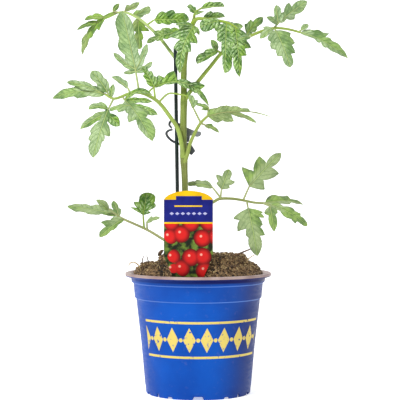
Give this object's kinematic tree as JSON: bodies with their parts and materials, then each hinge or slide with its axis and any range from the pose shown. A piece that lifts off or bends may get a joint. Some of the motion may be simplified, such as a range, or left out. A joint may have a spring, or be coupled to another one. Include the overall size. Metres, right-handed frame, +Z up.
{
  "type": "potted tomato plant",
  "caption": "Young tomato plant in a round plastic nursery pot, tied to a thin stake with a plastic clip, with a picture label pushed into the soil.",
  "frame": {"origin": "on the surface the pot stands on, under the middle of the whole plant, which is the pot's axis to within 2 mm", "axes": "+Z up along the pot's axis, the longest extent; -Y towards the front, where the label is; +X to the right seen from the front"},
  "size_m": [0.2617, 0.1305, 0.3535],
  "materials": {
    "pot": "satin blue polypropylene",
    "soil": null,
    "stake": "dark green coated rod",
    "stem": null,
    "clip": "dark grey moulded plastic",
    "label": "thin printed plastic tag",
    "leaf": null
  },
  "bodies": {
    "root": {"pot": "pot", "soil": "soil", "stake": "stake", "main_stem": "stem", "clip": "clip", "label": "label", "leaf_lower_left": "leaf", "leaf_lower_right": "leaf", "leaf_mid_left": "leaf", "leaf_mid_right": "leaf", "leaf_upper_left": "leaf", "leaf_upper_right": "leaf", "leaf_crown_left": "leaf", "leaf_crown_right": "leaf", "leaf_crown_front": "leaf", "leaf_crown_top": "leaf"}
  },
  "joints": []
}
